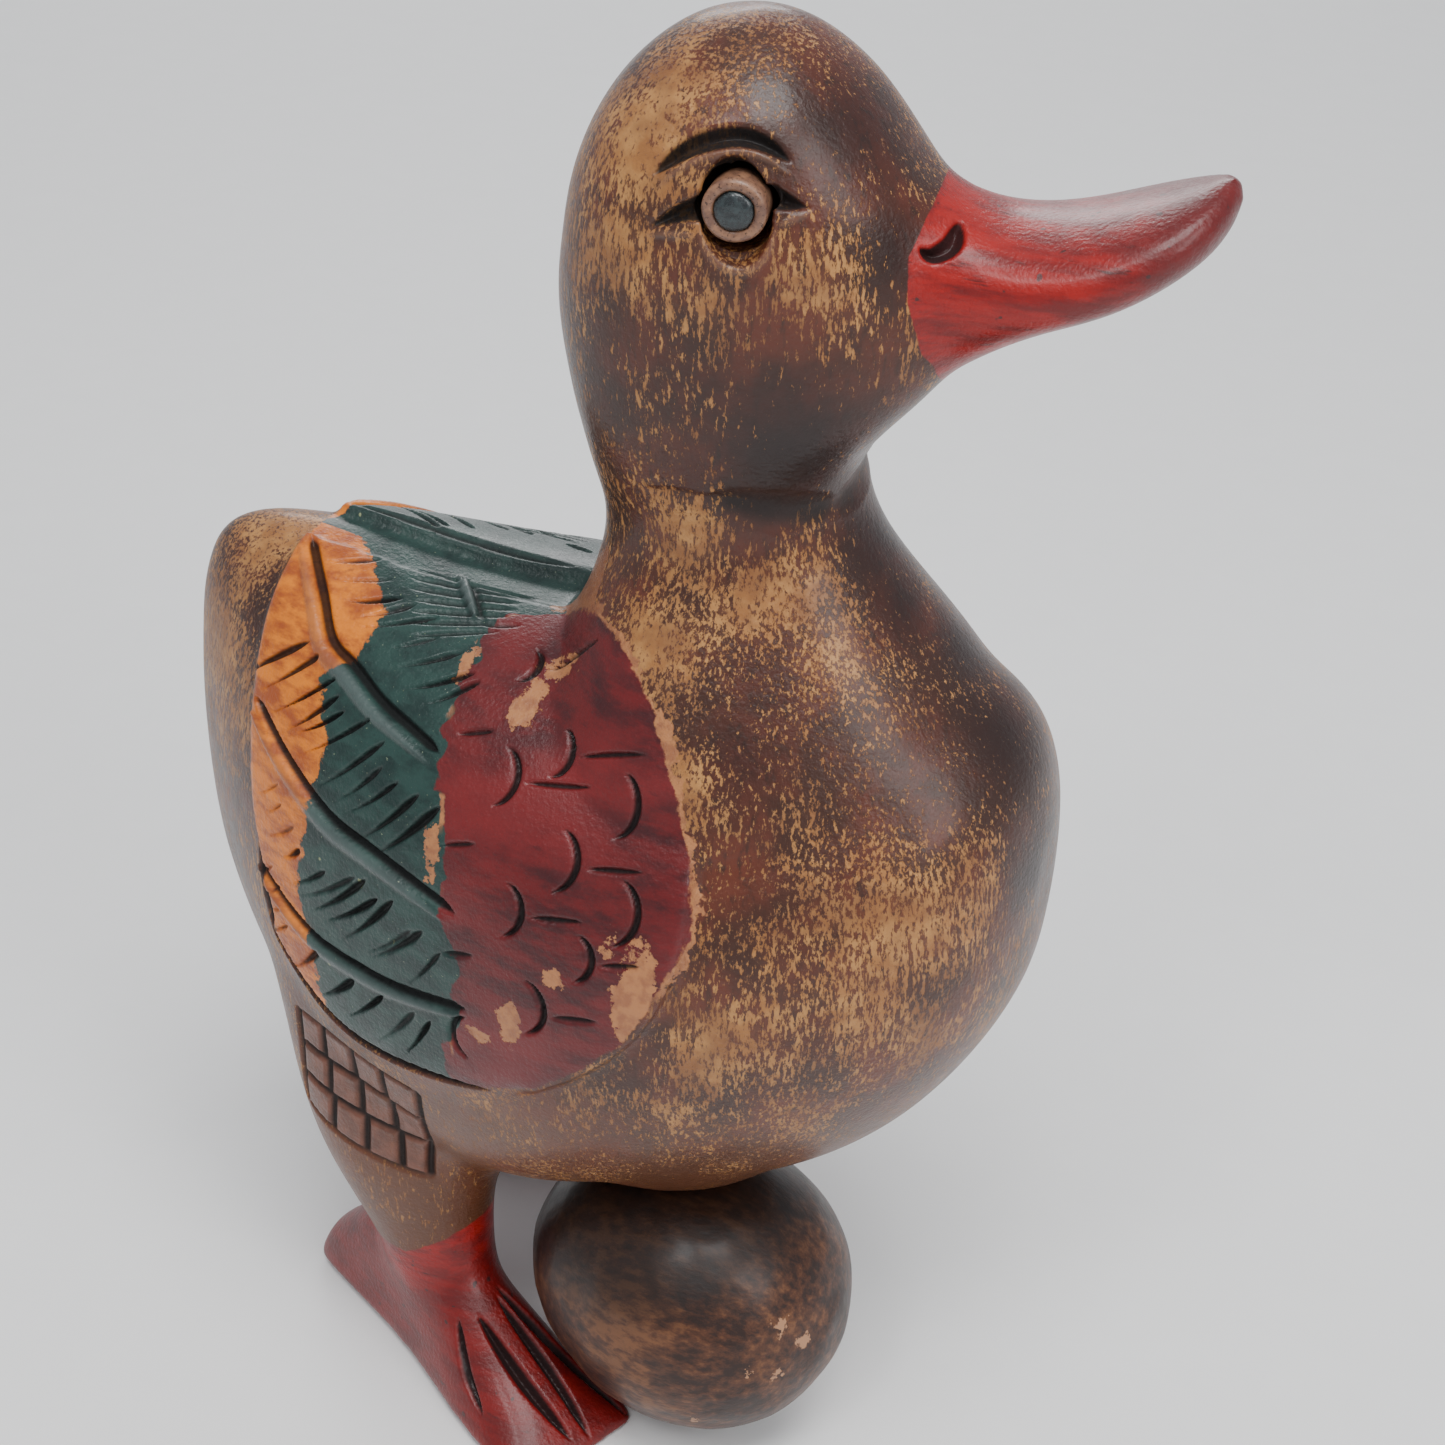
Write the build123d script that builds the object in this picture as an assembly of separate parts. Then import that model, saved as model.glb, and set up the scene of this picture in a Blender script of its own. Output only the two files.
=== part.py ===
from build123d import *
import math
import os

# A carved wooden duck that stands over an egg. Millimetres.
# While it is being made the duck faces +X, its left side is +Y, it stands on z = 0,
# and y = 0 is the middle plane of its trunk. At the end everything moves together, so
# that the origin lies under the middle of the whole object.

# ---- Driving dimensions ----
RING_POINTS = 16  # points on each carved cross-section

WING_RELIEF = 3.0  # how far a folded wing stands off the trunk
WING_INNER_EDGE = 6.0  # distance from the middle plane to a wing's inner side

NECK_JOINT_Z = 217.0  # height of the glued joint under the cheeks
NECK_DOWEL_R = 5.0
NECK_DOWEL_LENGTH = 44.0
NECK_DOWEL_X = 3.0

HEAD_CENTRE = (2.0, 0.0, 252.0)
HEAD_TURN = 10.0  # degrees to the duck's left
HEAD_LIFT = 10.0  # degrees, bill upwards

EYE_X = 7.7  # eye centre, in the head's own frame
EYE_Z = 21.0
EYE_DISC_R = 5.3
EYE_DISC_DEPTH = 9.0
EYE_FACE_Y = 27.6  # distance of the disc's face from the head's middle
PUPIL_R = 3.3
PUPIL_DEPTH = 4.0
PUPIL_PROUD = 0.5
EYE_ROUNDING = 0.9
PUPIL_ROUNDING = 0.45

STANCE_OFFSET = 4.0  # the feet stand this far left of the trunk's middle plane
HEEL = (-86.0, -17.0)  # right heel, from the middle of the stance
TOE_OUT = 25.0  # degrees that each foot turns outwards
ANKLE_JOINT_Z = 31.0
ANKLE = (-52.0, -32.5)  # right ankle joint, from the middle of the stance
LEG_DOWEL_R = 3.0
LEG_DOWEL_LENGTH = 26.0
SOLE_TRIM = 0.8  # sawn off under each foot to leave a flat sole

EGG_CENTRE = (4.0, -18.0)
EGG_TURN = -8.0
EGG_HALF_LENGTH = 36.0
EGG_RADIUS = 31.0
EGG_BLUNTNESS = 0.08  # how much the front end is fuller than the rear end
EGG_STEPS = 12  # points along half the egg's outline
EGG_DOWEL_R = 4.0
EGG_DOWEL_LENGTH = 26.0

SIDES = {"right": -1, "left": 1}
BIG = 400.0  # larger than the whole duck

# ---- Carved sections ----
# Trunk stations: x, lowest z, highest z, half width, z of the widest point, squareness.
TRUNK = [
    (-112.5, 112.0, 165.0, 7.0, 134.0, 2.0),
    (-108.5, 93.0, 178.0, 13.5, 129.0, 2.0),
    (-99.0, 76.0, 183.0, 23.0, 125.0, 2.0),
    (-80.0, 59.0, 183.0, 37.0, 121.0, 2.1),
    (-55.0, 50.0, 180.0, 46.5, 114.0, 2.5),
    (-25.0, 52.0, 180.0, 53.0, 114.0, 2.5),
    (0.0, 58.0, 182.0, 55.0, 120.0, 2.1),
    (25.0, 66.0, 186.0, 51.0, 130.0, 1.9),
    (45.0, 83.0, 184.0, 42.0, 136.0, 1.9),
    (58.0, 103.0, 176.0, 30.0, 140.0, 2.0),
    (64.0, 117.0, 166.0, 18.0, 142.0, 2.0),
    (66.5, 130.0, 154.0, 6.0, 142.0, 2.0),
]

# Upright stations: z, rearmost x, foremost x, half width, x of the widest point, squareness, y.
NECK = [
    (120.0, -45.0, 56.0, 42.0, 0.0, 2.0, 0.0),
    (140.0, -46.0, 62.0, 45.0, 2.0, 2.0, 0.0),
    (155.0, -44.0, 62.5, 45.5, 2.0, 2.0, 0.0),
    (168.0, -38.0, 59.0, 42.5, 2.0, 2.0, 0.0),
    (180.0, -30.0, 52.0, 37.0, 3.0, 2.0, 0.0),
    (192.0, -24.0, 42.0, 30.0, 3.0, 2.0, 0.0),
    (204.0, -21.5, 32.0, 23.5, 3.0, 2.0, 0.0),
    (213.0, -22.0, 27.0, 21.5, 3.0, 2.0, 0.0),
    (222.0, -24.0, 25.0, 21.5, 2.0, 2.0, 1.0),
]
RIGHT_THIGH = [
    (105.0, -93.0, -20.0, 22.0, -60.0, 2.0, -14.0),
    (88.0, -91.0, -26.0, 22.0, -60.0, 2.0, -18.0),
    (70.0, -86.0, -32.0, 19.0, -60.0, 2.0, -22.0),
    (55.0, -80.0, -36.0, 15.5, -58.0, 2.0, -26.0),
    (42.0, -73.0, -38.0, 12.5, -56.0, 2.0, -27.5),
    (30.0, -66.0, -38.0, 11.0, -53.0, 2.0, -28.0),
    (14.0, -60.0, -40.0, 8.5, -51.0, 2.0, -29.0),
]
# Head stations, in the head's own frame, from the neck up to the crown.
SKULL = [
    (-46.0, -29.0, 17.0, 20.0, -4.0, 2.1, 0.0),
    (-36.0, -31.0, 17.0, 22.5, -4.0, 2.1, 0.0),
    (-26.0, -32.0, 25.0, 25.0, -2.0, 2.2, 0.0),
    (-15.0, -32.2, 37.0, 27.0, 0.0, 2.2, 0.0),
    (0.0, -31.8, 38.5, 28.0, 2.0, 2.2, 0.0),
    (12.0, -29.0, 37.0, 28.0, 3.0, 2.2, 0.0),
    (22.0, -25.5, 32.5, 26.5, 4.0, 2.2, 0.0),
    (32.0, -19.5, 27.0, 22.5, 4.0, 2.2, 0.0),
    (39.0, -12.5, 21.0, 16.0, 5.0, 2.1, 0.0),
    (43.5, -5.0, 15.0, 9.0, 5.0, 2.0, 0.0),
    (45.4, 1.0, 9.0, 3.0, 5.0, 2.0, 0.0),
]
# Bill stations, in the head's own frame: as the trunk's.
BILL = [
    (26.0, -16.0, 18.0, 15.0, 1.0, 2.2),
    (37.0, -17.0, 14.0, 16.5, 0.0, 2.2),
    (45.0, -13.0, 9.0, 17.5, -1.0, 2.2),
    (53.0, -10.0, 7.5, 18.0, -1.0, 2.2),
    (62.0, -7.5, 8.0, 18.0, 0.0, 2.2),
    (71.0, -4.0, 9.5, 16.0, 3.0, 2.2),
    (78.0, 0.0, 11.0, 11.5, 6.0, 2.2),
    (82.0, 4.0, 12.0, 6.0, 8.5, 2.2),
    (84.0, 8.0, 11.0, 1.5, 9.5, 2.0),
]
# Foot stations along the foot from the heel: distance, half width, height.
FOOT = [
    (0.0, 8.0, 6.0),
    (4.0, 10.0, 12.0),
    (14.0, 10.5, 22.0),
    (30.0, 11.0, 31.0),
    (42.0, 12.0, 31.5),
    (55.0, 14.0, 24.0),
    (70.0, 16.0, 13.0),
    (82.0, 17.5, 6.0),
    (87.0, 16.0, 2.5),
]
# Side outline of a folded wing (x, z), from its tip down the rear edge and round.
WING_OUTLINE = [
    (-86.0, 184.0),
    (-86.0, 160.0),
    (-83.0, 135.0),
    (-77.0, 108.0),
    (-66.0, 97.0),
    (-50.0, 95.5),
    (-26.0, 100.0),
    (-4.0, 114.0),
    (12.0, 135.0),
    (15.0, 155.0),
    (8.0, 176.0),
    (-6.0, 191.0),
    (-40.0, 192.0),
]


def squircle(power):
    """Unit points round a closed curve between a circle (power 2) and a square."""
    points = []
    for i in range(RING_POINTS):
        angle = 2 * math.pi * i / RING_POINTS
        c, s = math.cos(angle), math.sin(angle)
        points.append((math.copysign(abs(c) ** (2 / power), c), math.copysign(abs(s) ** (2 / power), s)))
    return points


def closed_face(points):
    """A face bounded by one smooth closed curve."""
    return make_face(Spline(*points, periodic=True))


def lengthwise_ring(station, grow=0.0):
    """A cross-section that faces along X."""
    x, low, high, half_width, wide_z, power = station
    points = []
    for a, b in squircle(power):
        reach = (high - wide_z) if b > 0 else (wide_z - low)
        points.append((x, a * (half_width + grow), wide_z + b * (reach + grow)))
    return closed_face(points)


def upright_ring(station):
    """A cross-section that faces along Z."""
    z, rear, front, half_width, wide_x, power, side = station
    points = []
    for a, b in squircle(power):
        reach = (front - wide_x) if a > 0 else (wide_x - rear)
        points.append((wide_x + a * reach, side + b * half_width, z))
    return closed_face(points)


def lengthwise_loft(stations, grow=0.0):
    return loft([lengthwise_ring(station, grow) for station in stations])


def upright_loft(stations):
    return loft([upright_ring(station) for station in stations])


def solid_above(z):
    """Everything above height z, as a block."""
    return Pos(0, 0, z) * Box(BIG, BIG, BIG, align=(Align.CENTER, Align.CENTER, Align.MIN))


def dowel(x, y, middle_z, radius, length):
    return Pos(x, y, middle_z) * Cylinder(radius, length)


# ---- Head and bill ----
def head_place():
    return Pos(*HEAD_CENTRE) * Rot(Z=HEAD_TURN) * Rot(Y=-HEAD_LIFT)


def head_block():
    return head_place() * (upright_loft(SKULL) + lengthwise_loft(BILL))


def eye_parts(side):
    """The wooden disc and the pupil of one eye, both round and flat, set into the head."""
    inward = Align.CENTER, Align.CENTER, Align.MIN
    face = head_place() * Pos(EYE_X, side * EYE_FACE_Y, EYE_Z) * Rot(X=90 * side)
    disc = Cylinder(EYE_DISC_R, EYE_DISC_DEPTH, align=inward)
    disc = fillet(disc.edges().group_by(Axis.Z)[0], EYE_ROUNDING)
    pupil = Pos(0, 0, -PUPIL_PROUD) * Cylinder(PUPIL_R, PUPIL_DEPTH + PUPIL_PROUD, align=inward)
    pupil = fillet(pupil.edges().group_by(Axis.Z)[0], PUPIL_ROUNDING)
    return face * disc, face * pupil


# ---- Trunk, neck, wings and legs ----
def wing_side(side):
    """One folded wing in low relief: a slab of a slightly larger trunk."""
    slab = extrude(make_face(Plane.XZ * Spline(*WING_OUTLINE, periodic=True)), amount=BIG / 2)
    slab = Pos(0, -WING_INNER_EDGE, 0) * slab
    if side > 0:
        slab = mirror(slab, about=Plane.XZ)
    return lengthwise_loft(TRUNK, WING_RELIEF) & slab


def thigh(side):
    right = upright_loft(RIGHT_THIGH)
    return right if side < 0 else Pos(0, STANCE_OFFSET * 2, 0) * mirror(right, about=Plane.XZ)


# ---- Feet ----
def foot_ring(station):
    """A flat-bottomed section with a rounded back, facing along the foot."""
    along, half_width, height = station
    top = [
        (along, -half_width, -SOLE_TRIM),
        (along, -0.76 * half_width, 0.52 * height),
        (along, -0.42 * half_width, 0.9 * height),
        (along, 0, height),
        (along, 0.48 * half_width, 0.92 * height),
        (along, 0.84 * half_width, 0.55 * height),
        (along, half_width, -SOLE_TRIM),
    ]
    return make_face([Spline(*top), Line(top[-1], top[0])])


def foot_block(side):
    right = Pos(HEEL[0], HEEL[1] + STANCE_OFFSET, 0) * Rot(Z=-TOE_OUT)
    right = right * loft([foot_ring(station) for station in FOOT])
    return right if side < 0 else Pos(0, STANCE_OFFSET * 2, 0) * mirror(right, about=Plane.XZ)


# ---- Egg ----
def egg_curve(first_step, last_step, first_tangent, last_tangent):
    """A stretch of the egg's outline, which has its long axis along X."""
    points = []
    for i in range(first_step, last_step + 1):
        angle = math.pi * i / EGG_STEPS
        radius = EGG_RADIUS * math.sin(angle) * (1 - EGG_BLUNTNESS * math.cos(angle))
        points.append((-EGG_HALF_LENGTH * math.cos(angle), radius))
    return Spline(*points, tangents=[first_tangent, last_tangent])


def egg_parts():
    """An egg lying on its side, whole and then bored for its dowel, and that dowel."""
    middle = EGG_STEPS // 2
    along = (EGG_HALF_LENGTH, EGG_RADIUS * EGG_BLUNTNESS)
    rear = egg_curve(0, middle, (0, 1), along)
    front = egg_curve(middle, EGG_STEPS, along, (0, -1))
    lying = revolve(make_face([rear, front, Line(front @ 1, rear @ 0)]), Axis.X)
    place = Pos(EGG_CENTRE[0], EGG_CENTRE[1], -lying.bounding_box().min.Z) * Rot(Z=EGG_TURN)
    peg = dowel(0, 0, EGG_RADIUS, EGG_DOWEL_R, EGG_DOWEL_LENGTH)
    return place * lying, place * (lying - peg), place * peg


def carved_block():
    """Trunk, neck, wings, legs, head and bill in one, before it is cut at the glued joints."""
    block = lengthwise_loft(TRUNK) + upright_loft(NECK) + head_block()
    for side in SIDES.values():
        block = block + thigh(side) + wing_side(side)
    return block


def build():
    """Every piece by its node name, in the making frame."""
    nodes = {}
    block = carved_block()
    above_neck_joint = solid_above(NECK_JOINT_Z)
    above_ankle = solid_above(ANKLE_JOINT_Z)
    whole_egg, nodes["egg"], nodes["egg_dowel"] = egg_parts()
    nodes["head"] = block & above_neck_joint
    nodes["body"] = (block & above_ankle) - above_neck_joint - whole_egg - nodes["egg_dowel"]
    nodes["neck_dowel"] = dowel(NECK_DOWEL_X, 0, NECK_JOINT_Z, NECK_DOWEL_R, NECK_DOWEL_LENGTH)
    nodes["head"] = nodes["head"] - nodes["neck_dowel"]
    nodes["body"] = nodes["body"] - nodes["neck_dowel"]

    for name, side in SIDES.items():
        foot = ((foot_block(side) + thigh(side)) & solid_above(0)) - above_ankle
        ankle_y = STANCE_OFFSET + side * abs(ANKLE[1])
        leg_dowel = dowel(ANKLE[0], ankle_y, ANKLE_JOINT_Z, LEG_DOWEL_R, LEG_DOWEL_LENGTH)
        nodes[name + "_foot"] = foot - leg_dowel
        nodes[name + "_leg_dowel"] = leg_dowel
        nodes["body"] = nodes["body"] - leg_dowel

        disc, pupil = eye_parts(side)
        nodes[name + "_pupil"] = pupil
        nodes[name + "_eye"] = disc - pupil
        nodes["head"] = nodes["head"] - disc - pupil

    return nodes


def under_the_middle(shapes):
    """The move that brings the middle of the whole object's base to the origin."""
    boxes = [shape.bounding_box() for shape in shapes]
    middle_x = (min(box.min.X for box in boxes) + max(box.max.X for box in boxes)) / 2
    middle_y = (min(box.min.Y for box in boxes) + max(box.max.Y for box in boxes)) / 2
    return Pos(-middle_x, -middle_y, -min(box.min.Z for box in boxes))


pieces = build()
to_origin = under_the_middle(pieces.values())
os.makedirs("parts", exist_ok=True)
for piece_name, piece in pieces.items():
    export_step(to_origin * piece, os.path.join("parts", piece_name + ".step"))
print("moved by", to_origin.position)
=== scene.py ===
import math
import random

import bmesh
import bpy
import numpy as np
from mathutils import Euler, Matrix, Vector
from mathutils.bvhtree import BVHTree
from mathutils.kdtree import KDTree


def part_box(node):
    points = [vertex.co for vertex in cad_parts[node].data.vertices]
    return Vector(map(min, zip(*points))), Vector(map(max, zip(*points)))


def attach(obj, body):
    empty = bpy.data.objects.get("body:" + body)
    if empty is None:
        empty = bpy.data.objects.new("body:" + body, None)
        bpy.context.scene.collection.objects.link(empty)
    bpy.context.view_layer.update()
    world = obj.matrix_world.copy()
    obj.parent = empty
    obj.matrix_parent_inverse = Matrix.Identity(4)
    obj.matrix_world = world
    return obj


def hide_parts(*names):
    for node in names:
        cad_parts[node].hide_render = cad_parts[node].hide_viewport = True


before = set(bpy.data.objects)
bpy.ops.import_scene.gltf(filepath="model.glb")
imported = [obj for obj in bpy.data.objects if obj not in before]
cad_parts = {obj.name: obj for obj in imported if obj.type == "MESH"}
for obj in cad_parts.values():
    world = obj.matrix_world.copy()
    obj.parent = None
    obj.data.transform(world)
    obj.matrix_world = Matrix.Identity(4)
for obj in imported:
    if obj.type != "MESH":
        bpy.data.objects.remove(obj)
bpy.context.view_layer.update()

# A carved and painted wooden duck over an egg. Blender works in metres. Carving is laid out
# in millimetres, in two frames of the duck's own:
#   the trunk's frame: x forwards, y to the duck's left from the trunk's middle plane, z up
#   the head's frame: the same directions, turned and lifted with the head
MM = 0.001
rng = random.Random(7)


# ---------------- places
def middle(node):
    low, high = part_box(node)
    return (low + high) / 2


NECK_DOWEL_X = 3.0  # the neck dowel's place in the trunk's frame
TRUNK_ZERO = middle("neck_dowel") * Vector((1, 1, 0)) - Vector((NECK_DOWEL_X * MM, 0, 0))
NECK_JOINT_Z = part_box("head")[0].z
ANKLE_JOINT_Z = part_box("body")[0].z

HEAD_CENTRE = (2.0, 0.0, 252.0)
HEAD_TURN = 10.0
HEAD_LIFT = 10.0
HEAD_ROTATION = Euler((0, -math.radians(HEAD_LIFT), math.radians(HEAD_TURN)), "XYZ").to_matrix()

EGG_SEAT = (4.0, -18.0)  # where the egg's top meets the belly, in the trunk's frame
STANCE_OFFSET = 4.0  # the middle between the feet, left of the trunk's middle plane
SIDES = {"right": -1, "left": 1}


def trunk_point(x, y, z):
    """A place in the trunk's frame, millimetres, as a place in the object's frame, metres."""
    return TRUNK_ZERO + Vector((x, y, z)) * MM


def head_point(x, y, z):
    return trunk_point(*(Vector(HEAD_CENTRE) + HEAD_ROTATION @ Vector((x, y, z))))


def in_trunk(co):
    """Object-frame metres as trunk-frame millimetres, for an array of points."""
    return (co - np.array(TRUNK_ZERO)) / MM


def in_head(co):
    return (in_trunk(co) - np.array(HEAD_CENTRE)) @ np.array(HEAD_ROTATION)


# ---------------- meshes
VOXEL = 0.9 * MM
EGG_VOXEL = 1.0 * MM
SMOOTH_STEP = 0.5


def coordinates(mesh):
    co = np.empty(len(mesh.vertices) * 3)
    mesh.vertices.foreach_get("co", co)
    return co.reshape(-1, 3)


def set_coordinates(mesh, co):
    mesh.vertices.foreach_set("co", np.ascontiguousarray(co, dtype=np.float32).ravel())
    mesh.update()


def normals(mesh):
    out = np.empty(len(mesh.vertices) * 3)
    mesh.vertex_normals.foreach_get("vector", out)
    return out.reshape(-1, 3)


def even_mesh(nodes, voxel):
    """One closed, evenly meshed skin round the named CAD nodes."""
    bm = bmesh.new()
    for name in nodes:
        bm.from_mesh(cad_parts[name].data)
    rough = bpy.data.meshes.new("rough")
    bm.to_mesh(rough)
    bm.free()
    holder = bpy.data.objects.new("rough", rough)
    bpy.context.scene.collection.objects.link(holder)
    remesh = holder.modifiers.new("even", "REMESH")
    remesh.mode = "VOXEL"
    remesh.voxel_size = voxel
    evaluated = holder.evaluated_get(bpy.context.evaluated_depsgraph_get())
    mesh = bpy.data.meshes.new_from_object(evaluated)
    bpy.data.objects.remove(holder)
    mesh.materials.clear()
    return mesh


def edge_ends(mesh):
    ends = np.empty(len(mesh.edges) * 2, dtype=np.int32)
    mesh.edges.foreach_get("vertices", ends)
    return ends.reshape(-1, 2)


def smooth(mesh, weight, rounds):
    """Moves each vertex towards the mean of its neighbours, by its weight from 0 to 1."""
    co = coordinates(mesh)
    a, b = edge_ends(mesh).T
    size = len(co)
    share = SMOOTH_STEP * np.broadcast_to(weight, size)[:, None]
    count = (np.bincount(a, minlength=size) + np.bincount(b, minlength=size))[:, None]
    for _ in range(rounds):
        total = np.empty_like(co)
        for k in range(3):
            total[:, k] = np.bincount(a, co[b, k], size) + np.bincount(b, co[a, k], size)
        co += share * (total / count - co)
    set_coordinates(mesh, co)


def refine(mesh, wanted):
    """Splits each face with a wanted vertex into four."""
    bm = bmesh.new()
    bm.from_mesh(mesh)
    bm.verts.ensure_lookup_table()
    edges = [e for e in bm.edges if wanted[e.verts[0].index] or wanted[e.verts[1].index]]
    bmesh.ops.subdivide_edges(bm, edges=edges, cuts=1, use_grid_fill=True, smooth=0.0)
    bm.to_mesh(mesh)
    bm.free()


def ramp(value, start, end):
    """0 before start, 1 after end, smooth between."""
    t = np.clip((value - start) / (end - start), 0, 1)
    return t * t * (3 - 2 * t)


# ---------------- the wing's own map
# A place on the back or a wing: x, and how far round from the top of the back, in degrees.
AXIS_Z = 120.0


def round_of(p):
    """Degrees round the trunk from the top of the back, for trunk-frame points."""
    return np.degrees(np.arctan2(np.abs(p[:, 1]), p[:, 2] - AXIS_Z))


WING_EDGE = [
    (-86, 0), (-86, 22), (-85, 40), (-83, 60), (-79, 85), (-77, 99), (-71, 107), (-62, 113), (-50, 113.5),
    (-36, 110.5), (-24, 107), (-11, 100), (-1, 91), (7, 82), (12, 72), (16, 60), (14, 48), (8, 37), (0, 27),
    (-10, 20), (-22, 13), (-30, 7), (-30, 0),
]
# Where orange ends and green begins, and where green ends and burgundy begins: degrees round, x.
ORANGE_END = [
    (0, -77), (3, -74), (14, -64), (19, -60), (28, -63), (32, -69), (43, -64), (64, -67), (78, -69),
    (100, -65), (120, -62),
]
GREEN_END = [
    (0, -20), (8, -24), (12, -37), (16, -41), (30, -38), (36, -39), (50, -35), (62, -33), (76, -31),
    (94, -30), (120, -31),
]
# Each feather's shaft, from the wing's rear edge forwards.
SHAFTS = [
    [(-84, 6), (-75, 17), (-69, 25), (-62, 29), (-54, 34), (-45, 38), (-38, 41)],
    [(-85, 36), (-73, 48), (-61, 57), (-50, 61), (-41, 64), (-29, 68)],
    [(-82, 77), (-73, 85), (-64, 90), (-54, 91), (-44, 91), (-26, 88)],
]
SHORT_SHAFT = [(-55, 1), (-50, 7), (-43, 15)]
# Carved scales on the shoulder: x, degrees round, size, 1 if it bulges forwards, length of the cut in front.
SCALES = [
    (-27, 22, 4.0, 1, 12), (-14, 36, 4.5, 1, 14), (-23, 42, 5.5, 1, 13), (1, 42, 5.5, 1, 0),
    (-8, 53, 6.0, 1, 11), (-17, 64, 5.5, 1, 11), (5, 59, 6.5, 1, 0), (-2, 69, 5.0, 1, 8),
    (-11, 82, 6.5, 1, 9), (-29, 95, 5.5, -1, 0),
]


def edge_distance(x, y, outline):
    """Signed distance from a closed outline, positive inside, for arrays of places."""
    best = np.full(len(x), 1e9)
    inside = np.zeros(len(x), bool)
    for (ax, ay), (bx, by) in zip(outline, outline[1:] + outline[:1]):
        dx, dy = bx - ax, by - ay
        t = np.clip(((x - ax) * dx + (y - ay) * dy) / (dx * dx + dy * dy), 0, 1)
        best = np.minimum(best, np.hypot(x - ax - t * dx, y - ay - t * dy))
        if dy:
            crosses = (ay > y) != (by > y)
            inside ^= crosses & (x < ax + (y - ay) * dx / dy)
    return np.where(inside, best, -best)


def mirrored_outline(outline):
    """The outline with its reflection across 0 degrees, so that the top of the back is inside."""
    return outline + [(x, -around) for x, around in reversed(outline) if around > 0]


# ---------------- carving
def along(points, step):
    """Evenly spaced places on a smooth curve through the points, each with its share of the length."""
    points = [Vector(p) for p in points]
    ends = [points[0] * 2 - points[1]] + points + [points[-1] * 2 - points[-2]]
    fine = []
    for i in range(1, len(ends) - 2):
        p0, p1, p2, p3 = ends[i - 1:i + 3]
        for j in range(8):
            t = j / 8
            fine.append(0.5 * (2 * p1 + (p2 - p0) * t + (2 * p0 - 5 * p1 + 4 * p2 - p3) * t * t
                               + (3 * p1 - p0 - 3 * p2 + p3) * t ** 3))
    fine.append(points[-1])
    lengths = [0.0]
    for a, b in zip(fine, fine[1:]):
        lengths.append(lengths[-1] + (b - a).length)
    count = max(2, math.ceil(lengths[-1] / step))
    out = []
    k = 0
    for i in range(count + 1):
        wanted = lengths[-1] * i / count
        while k < len(fine) - 2 and lengths[k + 1] < wanted:
            k += 1
        span = max(lengths[k + 1] - lengths[k], 1e-9)
        out.append((fine[k].lerp(fine[k + 1], (wanted - lengths[k]) / span), i / count))
    return out


def both_ends(t):
    return math.sin(math.pi * min(max(t, 0.0), 1.0)) ** 0.6


def deep_end(t):
    """A gouge that starts thin, gets deep and stops short."""
    return t ** 0.8 * min(1.0, (1.0 - t) / 0.22) ** 0.6 if t < 1 else 0.0


def thin_end(t):
    return max(0.0, 1 - t) ** 0.8


def steady(t):
    return min(1.0, t / 0.06, (1 - t) / 0.06) if 0 < t < 1 else 0.0


class Carver:
    """Gouges and ridges on a skin, all of them measured on the skin as it was at the start."""

    STEP = 0.35  # millimetres between the places where a gouge is worked out
    RAY_LENGTH = 90 * MM
    FULL_RIDGE = 0.8  # millimetres: on a ridge this high a gouge loses GOUGE_LOST of its depth
    GOUGE_LOST = 0.85

    def __init__(self, mesh):
        self.mesh = mesh
        self.co = coordinates(mesh)
        self.normals = normals(mesh)
        self.tree = KDTree(len(self.co))
        for i, point in enumerate(self.co):
            self.tree.insert(point, i)
        self.tree.balance()
        self.surface = BVHTree.FromPolygons(
            [tuple(c) for c in self.co], [tuple(p.vertices) for p in mesh.polygons], all_triangles=False)
        self.sink = np.zeros(len(self.co))
        self.lift = np.zeros(len(self.co))

    def on_wing(self, side, x, around):
        """The place on the skin at a place of the wing's map."""
        angle = math.radians(around)
        start = trunk_point(x, 0, AXIS_Z)
        outwards = Vector((0, side * math.sin(angle), math.cos(angle)))
        hit = self.surface.ray_cast(start, outwards, self.RAY_LENGTH)[0]
        return hit if hit is not None else start

    def nearest(self, point):
        return self.surface.find_nearest(point)[0]

    def stroke(self, points, half_width, depth, shape=both_ends, sharp=1.2):
        """Cuts along points, which are metres on the skin. A negative depth raises a ridge."""
        target = self.sink if depth > 0 else self.lift
        for place, t in along(points, self.STEP * MM):
            size = shape(t)
            width = half_width * max(size, 0.15) * MM
            full = abs(depth) * min(1.0, 1.5 * size)
            if full <= 0:
                continue
            for _, index, distance in self.tree.find_range(place, width):
                value = full * (1 - (distance / width) ** sharp)
                if value > target[index]:
                    target[index] = value

    def wing_stroke(self, side, places, *args, **options):
        dense = [tuple(p) + (0,) for p in places]
        path = [self.on_wing(side, p.x, p.y) for p, _ in along(dense, 2.5)]
        self.stroke(path, *args, **options)

    def finish(self):
        """Moves the skin. Gouges get shallow where they meet a raised ridge."""
        self.sink *= 1 - self.GOUGE_LOST * np.clip(self.lift / self.FULL_RIDGE, 0, 1)
        push = (self.lift - self.sink)[:, None] * MM
        set_coordinates(self.mesh, self.co + self.normals * push)


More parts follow.
